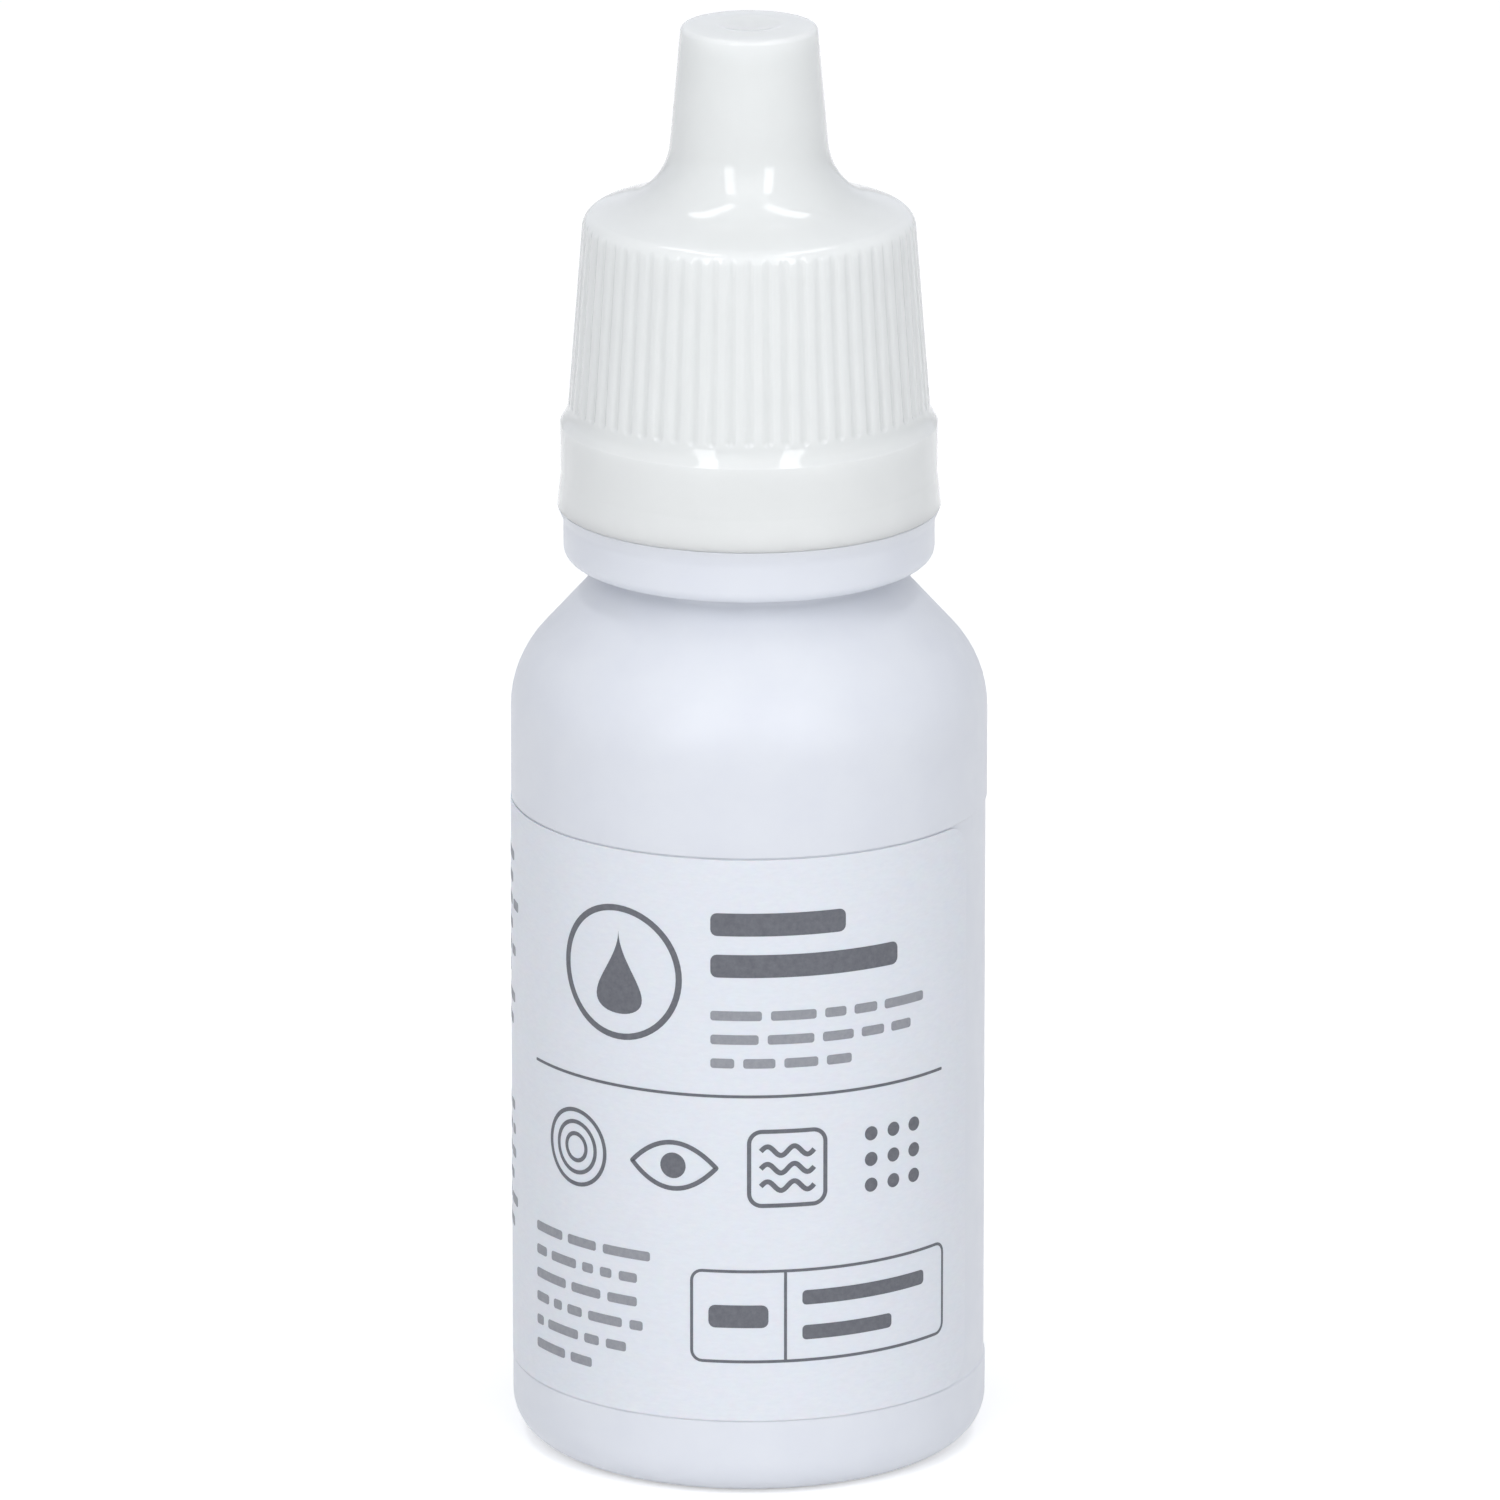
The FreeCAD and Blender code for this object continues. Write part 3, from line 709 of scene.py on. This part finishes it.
def make_screw_cap():
    """Cap turned from its outline: outside, the outline or the flutes' floor, whichever is nearer the axis.

    Inside, the thread's ridge is taken off the bore's radius.
    """
    band_top = cap_low.z + BAND_HEIGHT
    inside = cap_inside(band_top)
    outside = cap_outside(cap_high.x - LIP_FLARE, band_top)
    around = ((np.arange(FLUTE_COUNT)[:, None] + FLUTE_PLACES) * math.tau / FLUTE_COUNT).ravel()

    floor = flute_floor(around, outside[:, 1:], band_top + LEDGE_RISE + FLUTE_LIFT)
    outer = smooth_least(outside[:, :1], floor, FLUTE_EDGE)

    bore, level = inside[:, :1], inside[:, 1:]
    thread_foot = THREAD_START + CAP_THREAD_ABOVE_START
    thread_top = bottle_high.z - CAP_THREAD_BELOW_RIM
    ridge = thread_ridge(around, level, THREAD_START + THREAD_PITCH / 2, thread_foot, thread_top)
    inner = bore - THREAD_DEPTH * ridge * (abs(bore - CAP_BORE) < ON_WALL)

    outline = np.concatenate([inside, outside[1:]])
    piece = turned("fluted_screw_cap", outline, around, np.concatenate([inner, outer[1:]]))
    return finished(piece, cap_plastic, "screw_cap", "cap_plastic", "screw_cap")


make_screw_cap()


# Label and its print

LABEL_RADIUS = min(label_high.y, -label_low.x)
LABEL_THICKNESS = 0.07
INK_RISE = 0.012
INK_SINK = 0.02
LABEL_CORNER = 1.6
LABEL_BARE_ANGLE = math.radians(50)
LABEL_BARE_MIDDLE = 0.0
LABEL_CORNER_POINTS = 10
LABEL_BEARINGS = 230
LABEL_ROWS = 20


def wrapped(places, radius):
    """Label coordinates to space: millimetres right of the front's middle go round at that radius."""
    bearing = FRONT + places[..., 0] / LABEL_RADIUS
    return np.stack([radius * np.cos(bearing), radius * np.sin(bearing), places[..., 1]], axis=-1)


def stroke(path, half_width, low, high, closed=False, across=2):
    """Thin solid on the label: a flat band of changing width carried along a path.

    Its face has across points from one edge to the other, square to the path, at radius high, and its
    back has the same at radius low. An open path gets two ends. Returns points and faces.
    """
    path = np.asarray(path, float)
    if closed:
        ahead = np.roll(path, -1, 0) - np.roll(path, 1, 0)
    else:
        ahead = np.gradient(path, axis=0)
    ahead /= np.linalg.norm(ahead, axis=1, keepdims=True)
    left = np.stack([-ahead[:, 1], ahead[:, 0]], axis=-1) * np.broadcast_to(half_width, len(path))[:, None]
    shares = np.linspace(-1, 1, across)
    flat = path[:, None] + left[:, None] * shares[None, :, None]
    section = np.concatenate([wrapped(flat, high), wrapped(flat[:, ::-1], low)], axis=1)
    numbers = np.arange(section[..., 0].size).reshape(section.shape[:2])
    near = numbers if closed else numbers[:-1]
    far = np.roll(numbers, -1, 0) if closed else numbers[1:]
    quads = np.stack([near, far, np.roll(far, -1, 1), np.roll(near, -1, 1)], axis=-1)
    faces = quads.reshape(-1, 4).tolist()
    if not closed:
        faces += [numbers[0].tolist(), numbers[-1, ::-1].tolist()]
    return section.reshape(-1, 3), faces


def joined(solids):
    """Several solids as one set of points and faces."""
    points, faces, start = [], [], 0
    for solid_points, solid_faces in solids:
        points.append(solid_points)
        faces += [[start + number for number in face] for face in solid_faces]
        start += len(solid_points)
    return np.concatenate(points), faces


def make_label():
    """Label film: one band round the body whose half height draws in by a quarter circle at its corners."""
    reach = LABEL_RADIUS * (math.tau - LABEL_BARE_ANGLE)
    right_end = LABEL_RADIUS * (LABEL_BARE_MIDDLE - LABEL_BARE_ANGLE / 2 - FRONT)
    half_height = (label_high.z - label_low.z) / 2
    corner = LABEL_CORNER * (1 - np.cos(np.linspace(0, math.pi / 2, LABEL_CORNER_POINTS)))
    middle = np.linspace(LABEL_CORNER, reach - LABEL_CORNER, LABEL_BEARINGS)[1:-1]
    along = np.concatenate([corner, middle, reach - corner[::-1]])
    to_end = np.minimum(along, reach - along)
    into_corner = np.clip(LABEL_CORNER - to_end, 0, None)
    drawn_in = LABEL_CORNER - np.sqrt(np.clip(LABEL_CORNER ** 2 - into_corner ** 2, 0, None))
    path = np.stack([right_end - reach + along, np.full(len(along), label_low.z + half_height)], axis=-1)
    film = LABEL_RADIUS - INK_RISE
    points, faces = stroke(path, half_height - drawn_in, film - LABEL_THICKNESS, film, across=LABEL_ROWS)
    return finished(put_mesh("label_film_wrap", points, faces), label_film, "bottle", "label_film", "label")


make_label()


# Sizes of the print. A place is millimetres right of the front's middle and a level above the ground.
PRINT_SEED = 7
INK_STEP = 0.35
FINE_LINE = 0.14
BOLD_LINE = 0.3
SYMBOL_LINE = FINE_LINE * 1.4
EYE_LINE = FINE_LINE * 1.6
WAVE_LINE = BOLD_LINE * 0.8

# Word-like bars: a bar's corner is a share of its height, and a line's reach a share of its column.
BAR_CORNER = 0.28
BAR_CORNER_POINTS = 5
TEXT_HEIGHT = 0.46
LINE_PITCH = 1.15
WORD_GAP = 0.42
SHORTEST_WORD = 0.6
LONGEST_WORD = 2.6
SHORTEST_LINE = 0.86
LAST_LINE = 0.55

# Blocks of small text by left, right, first level and lines, bars by left, level, length and height.
TEXT_BLOCKS = (
    (-1.8, 10.4, 23.6, 3),
    (-12.2, -4.6, 11.6, 6),
    (-28.0, -14.6, 28.6, 9),
    (-28.0, -14.6, 16.4, 7),
)
HEADINGS = ((-1.8, 28.0, 6.4, 1.1), (-1.8, 26.0, 9.2, 1.1))
LONG_RULE = (-12.2, 19.7, 22.6, FINE_LINE)

# Emblem: a drop, by height and width, in a ring.
EMBLEM = (-6.4, 25.2)
EMBLEM_RADIUS = 3.1
EMBLEM_DROP = (4.0, 2.5)

# Row of symbols: ripples and the eye's width and height are shares of a symbol's size.
SYMBOL_LEVEL = 16.2
SYMBOL_PLACES = (-9.0, -3.6, 1.8, 7.2)
SYMBOL_SIZE = 3.6
RIPPLE_SHARES = (0.5, 0.34, 0.18)
EYE_SHARES = (1.15, 0.62)
PUPIL_RADIUS = 0.62
WAVE_BOX_CORNER = 0.6
WAVE_SHARE = 0.7
WAVE_SWING = 0.22
WAVE_LIFTS = (-0.85, 0.0, 0.85)
DOT_RADIUS = 0.34
DOT_STEPS = (-1.25, 0, 1.25)

# Ruled box: its middle, width and height, and what stands left and right of its divider.
TABLE = (3.9, 9.0)
TABLE_SIZE = (13.2, 4.4)
TABLE_CORNER = 0.5
TABLE_DIVIDER = 4.4
ENTRY_INDENT = 0.8
LEFT_ENTRY = (2.8, 1.1)
RIGHT_ENTRY_LENGTHS = (6.6, 4.6)
RIGHT_ENTRY_LIFTS = (0.85, -0.85)
RIGHT_ENTRY_HEIGHT = 0.7

# Points along the round shapes, and how far a filled shape's path stops short of its tips (radians).
CIRCLE_POINTS = 64
EYE_POINTS = 72
WAVE_POINTS = 40
DOT_POINTS = 16
DOT_TIPS = 0.08
DOT_ROWS = 5
DROP_POINTS = 28
DROP_FOOT_TIP = 0.06
DROP_HEAD_TIP = 0.12
DROP_ROWS = 9


def inked(path, half_width, closed=False, across=2):
    """One printed stroke, sunk a little into the film and standing a little proud of it."""
    return stroke(path, half_width, LABEL_RADIUS - INK_RISE - INK_SINK, LABEL_RADIUS, closed, across)


def steps(low, high):
    """Evenly spaced places no further apart than the ink's step."""
    return np.linspace(low, high, max(int(math.ceil((high - low) / INK_STEP)), 2) + 1)


def bar(left, level, length, height):
    """Level bar whose half height draws in by a quarter circle at its four corners."""
    corner = min(height * BAR_CORNER, length / 3)
    turn = corner * (1 - np.cos(np.linspace(0, math.pi / 2, BAR_CORNER_POINTS)))
    along = np.concatenate([turn, steps(corner, length - corner)[1:-1], length - turn[::-1]])
    into_corner = np.clip(corner - np.minimum(along, length - along), 0, corner)
    half_height = height / 2 - corner + np.sqrt(corner ** 2 - into_corner ** 2)
    return inked(np.stack([left + along, np.full(len(along), level)], axis=-1), half_height)


def ring(middle, radius, weight):
    """Circle drawn with a stroke of that weight."""
    turn = np.linspace(0, math.tau, CIRCLE_POINTS, endpoint=False)
    circle = np.stack([np.cos(turn), np.sin(turn)], axis=-1) * radius
    return inked(np.asarray(middle) + circle, weight / 2, closed=True)


def dot(middle, radius):
    """Filled disc: an upright path whose half width is the circle's."""
    rise = -np.cos(np.linspace(DOT_TIPS, math.pi - DOT_TIPS, DOT_POINTS)) * radius
    path = np.stack([np.full(len(rise), middle[0]), middle[1] + rise], axis=-1)
    return inked(path, np.sqrt(radius ** 2 - rise ** 2), across=DOT_ROWS)


def drop(middle, height, width):
    """Filled drop, point up: half width sin(t) times sin(t / 2) cubed at the height of cos(t)."""
    turn = np.linspace(math.pi - DROP_FOOT_TIP, DROP_HEAD_TIP, DROP_POINTS)
    path = np.stack([np.full(len(turn), middle[0]), middle[1] + height / 2 * np.cos(turn)], axis=-1)
    shape = np.sin(turn) * np.sin(turn / 2) ** 3
    return inked(path, width / 2 * shape / shape.max(), across=DROP_ROWS)


def eye(middle, width, height, weight):
    """Eye outline: half width cos(t), half height sin(t) squared with the sign of sin(t)."""
    turn = np.linspace(0, math.tau, EYE_POINTS, endpoint=False)
    lid = np.stack([width / 2 * np.cos(turn), height / 2 * np.sin(turn) * abs(np.sin(turn))], axis=-1)
    return inked(np.asarray(middle) + lid, weight / 2, closed=True)


def wave(middle, width, swing, weight):
    """Two waves of a sine line."""
    along = np.linspace(-0.5, 0.5, WAVE_POINTS)
    line = np.stack([along * width, swing * np.sin(along * 2 * math.tau)], axis=-1)
    return inked(np.asarray(middle) + line, weight / 2)


def box(middle, width, height, corner, weight):
    """Frame with rounded corners."""
    right, up = width / 2, height / 2
    corners = [(-right, -up), (right, -up), (right, up), (-right, up)]
    outline = rounded([(*place, corner, INK_STEP) for place in corners], closed=True)
    return inked(np.asarray(middle) + outline, weight / 2, closed=True)


def upright(place, low, high, weight):
    """Straight upright line."""
    rise = steps(low, high)
    return inked(np.stack([np.full(len(rise), place), rise], axis=-1), weight / 2)


def text_lines(left, right, top, count, chance):
    """Lines of word-like bars: word lengths are drawn until a line is full, and the last line is short."""
    bars = []
    for line in range(count):
        share = LAST_LINE if line == count - 1 else chance.uniform(SHORTEST_LINE, 1.0)
        reach = left + (right - left) * share
        place = left
        while reach - place > SHORTEST_WORD:
            length = min(chance.uniform(SHORTEST_WORD, LONGEST_WORD), reach - place)
            bars.append(bar(place, top - line * LINE_PITCH, length, TEXT_HEIGHT))
            place += length + WORD_GAP
    return bars


def make_print():
    """Plain generic print: a drop in a ring, word-like bars, four simple symbols and a small ruled box."""
    chance = np.random.default_rng(PRINT_SEED)
    words = [word for block in TEXT_BLOCKS for word in text_lines(*block, chance)]
    put_print("text_print", words, text_ink)

    headings = [bar(*heading) for heading in HEADINGS]
    rules = [bar(*LONG_RULE), box(TABLE, *TABLE_SIZE, TABLE_CORNER, FINE_LINE)]
    left = TABLE[0] - TABLE_SIZE[0] / 2
    low = TABLE[1] - TABLE_SIZE[1] / 2
    divider = left + TABLE_DIVIDER
    rules.append(upright(divider, low, low + TABLE_SIZE[1], FINE_LINE))
    entries = [bar(left + ENTRY_INDENT, TABLE[1], *LEFT_ENTRY)]
    for length, lift in zip(RIGHT_ENTRY_LENGTHS, RIGHT_ENTRY_LIFTS):
        entries.append(bar(divider + ENTRY_INDENT, TABLE[1] + lift, length, RIGHT_ENTRY_HEIGHT))
    put_print("ruled_print", headings + rules + entries, symbol_ink)

    emblem = [ring(EMBLEM, EMBLEM_RADIUS, BOLD_LINE), drop(EMBLEM, *EMBLEM_DROP)]
    first, second, third, fourth = [np.array([place, SYMBOL_LEVEL]) for place in SYMBOL_PLACES]
    ripples = [ring(first, SYMBOL_SIZE * share, SYMBOL_LINE) for share in RIPPLE_SHARES]
    eye_width, eye_height = [SYMBOL_SIZE * share for share in EYE_SHARES]
    eyes = [eye(second, eye_width, eye_height, EYE_LINE), dot(second, PUPIL_RADIUS)]
    waves = [box(third, SYMBOL_SIZE, SYMBOL_SIZE, WAVE_BOX_CORNER, SYMBOL_LINE)]
    wave_width = SYMBOL_SIZE * WAVE_SHARE
    waves += [wave(third + (0, lift), wave_width, WAVE_SWING, WAVE_LINE) for lift in WAVE_LIFTS]
    dots = [dot(fourth + (across, lift), DOT_RADIUS) for across in DOT_STEPS for lift in DOT_STEPS]
    put_print("symbol_print", emblem + ripples + eyes + waves + dots, symbol_ink)


def put_print(name, strokes, ink):
    """Several printed strokes as one piece on the label."""
    points, faces = joined(strokes)
    finished(put_mesh(name, points, faces), ink, "bottle", "label_film")


make_print()


# Camera, floor and light

CAMERA_DISTANCE = 790.0
CAMERA_ELEVATION = math.radians(16.2)
CAMERA_AIM = 33.18
CAMERA_SHIFT = 0.0006
CAMERA_SIGHT = 20.0
SENSOR = 36.0
LENS = 406.18


def make_camera():
    """Camera in front of the bottle, raised by its elevation and turned to its aim on the axis."""
    camera = bpy.data.cameras.new("photo_camera")
    camera.sensor_width = SENSOR
    camera.lens = LENS
    camera.shift_x = CAMERA_SHIFT
    camera.clip_end = CAMERA_SIGHT
    holder = bpy.data.objects.new("photo_camera", camera)
    aim = Vector((0, 0, CAMERA_AIM)) / METRE
    reach = CAMERA_DISTANCE / METRE
    holder.location = aim + Vector((0, -math.cos(CAMERA_ELEVATION), math.sin(CAMERA_ELEVATION))) * reach
    holder.rotation_euler = (aim - holder.location).to_track_quat("-Z", "Y").to_euler()
    bpy.context.scene.collection.objects.link(holder)
    bpy.context.scene.camera = holder


make_camera()


FLOOR_REACH = 6.0
FLOOR_DROP = 0.00002
FLOOR_COLOUR = (0.92, 0.92, 0.92, 1.0)
FLOOR_ROUGHNESS = 0.9
FLOOR_GLOW = 0.38
GLOW_COLOUR = (1, 1, 1, 1)


def seen_straight(nodes, links):
    """1 where the camera, a reflection or a see-through ray looks straight at a surface, else 0."""
    rays = nodes.new("ShaderNodeLightPath")
    seen = rays.outputs["Is Camera Ray"]
    for kind in ("Is Glossy Ray", "Is Transmission Ray"):
        larger = nodes.new("ShaderNodeMath")
        larger.operation = "MAXIMUM"
        links.new(seen, larger.inputs[0])
        links.new(rays.outputs[kind], larger.inputs[1])
        seen = larger.outputs[0]
    return seen


def make_floor():
    """Plain white floor that takes the shadow, and glows a little where it is seen straight."""
    mesh = bpy.data.meshes.new("floor")
    corners = np.array([(-1, -1, 0), (1, -1, 0), (1, 1, 0), (-1, 1, 0)]) * FLOOR_REACH
    corners[:, 2] = -FLOOR_DROP
    mesh.from_pydata(corners.tolist(), [], [(0, 1, 2, 3)])
    floor = bpy.data.objects.new("floor", mesh)
    bpy.context.scene.collection.objects.link(floor)
    finish = Finish("white_floor")
    finish.settings(
        Base_Color=FLOOR_COLOUR, Roughness=FLOOR_ROUGHNESS, Specular_IOR_Level=0.0,
        Emission_Color=GLOW_COLOUR)
    seen = seen_straight(finish.nodes, finish.links)
    finish.drive(finish.ranged(seen, 0.0, FLOOR_GLOW, 0.0, 1.0), "Emission Strength")
    mesh.materials.append(finish.material)


make_floor()

WORLD_LEVEL = 0.37
WORLD_COLOUR = (0.96, 0.985, 1.05, 1.0)


def make_world():
    """Even, slightly cool surroundings, at full strength where they are seen straight."""
    world = bpy.data.worlds.new("studio")
    bpy.context.scene.world = world
    world.use_nodes = True
    nodes, links = world.node_tree.nodes, world.node_tree.links
    level = nodes.new("ShaderNodeMapRange")
    level.inputs["To Min"].default_value = WORLD_LEVEL
    level.inputs["To Max"].default_value = 1.0
    links.new(seen_straight(nodes, links), level.inputs["Value"])
    background = nodes["Background"]
    background.inputs["Color"].default_value = WORLD_COLOUR
    links.new(level.outputs["Result"], background.inputs["Strength"])


make_world()

STRIP_RADIANCE = 4.6
STRIP_WIDTH = 0.165
STRIP_FOOT = (0.33, -0.61, 0.12)
STRIP_HEAD = (0.33, -0.61, 0.82)
BAR_RADIANCE = 4.2
BAR_WIDTH = 0.09
BAR_FRONT = (0.145, -0.227, 0.63)
BAR_BACK = (0.265, 0.224, 0.63)
FILL_RADIANCE = 0.85
FILL_WIDTH = 1.0
FILL_FOOT = (0.0, -1.3, 0.5)
FILL_HEAD = (0.0, -0.6, 1.25)


def add_softbox(name, start, end, width, radiance):
    """Long softbox between two points, turned to face the bottle's middle.

    A lamp's power is its radiance times pi times its area.
    """
    start, end = Vector(start), Vector(end)
    lamp = bpy.data.lights.new(name, "AREA")
    lamp.shape = "RECTANGLE"
    lamp.size = width
    lamp.size_y = (end - start).length
    lamp.energy = radiance * math.pi * lamp.size * lamp.size_y
    holder = bpy.data.objects.new(name, lamp)
    along = (end - start).normalized()
    from_bottle = (start + end) / 2 - Vector((0, 0, CAMERA_AIM)) / METRE
    backwards = (from_bottle - along * from_bottle.dot(along)).normalized()
    turn = Matrix((along.cross(backwards), along, backwards)).transposed()
    holder.matrix_world = Matrix.Translation((start + end) / 2) @ turn.to_4x4()
    bpy.context.scene.collection.objects.link(holder)


for side in (-1, 1):
    mirror = np.array([side, 1, 1])
    add_softbox("strip_softbox", mirror * STRIP_FOOT, mirror * STRIP_HEAD, STRIP_WIDTH, STRIP_RADIANCE)
    add_softbox("overhead_softbox", mirror * BAR_FRONT, mirror * BAR_BACK, BAR_WIDTH, BAR_RADIANCE)
add_softbox("front_fill", FILL_FOOT, FILL_HEAD, FILL_WIDTH, FILL_RADIANCE)

bpy.context.scene.view_settings.view_transform = "Standard"
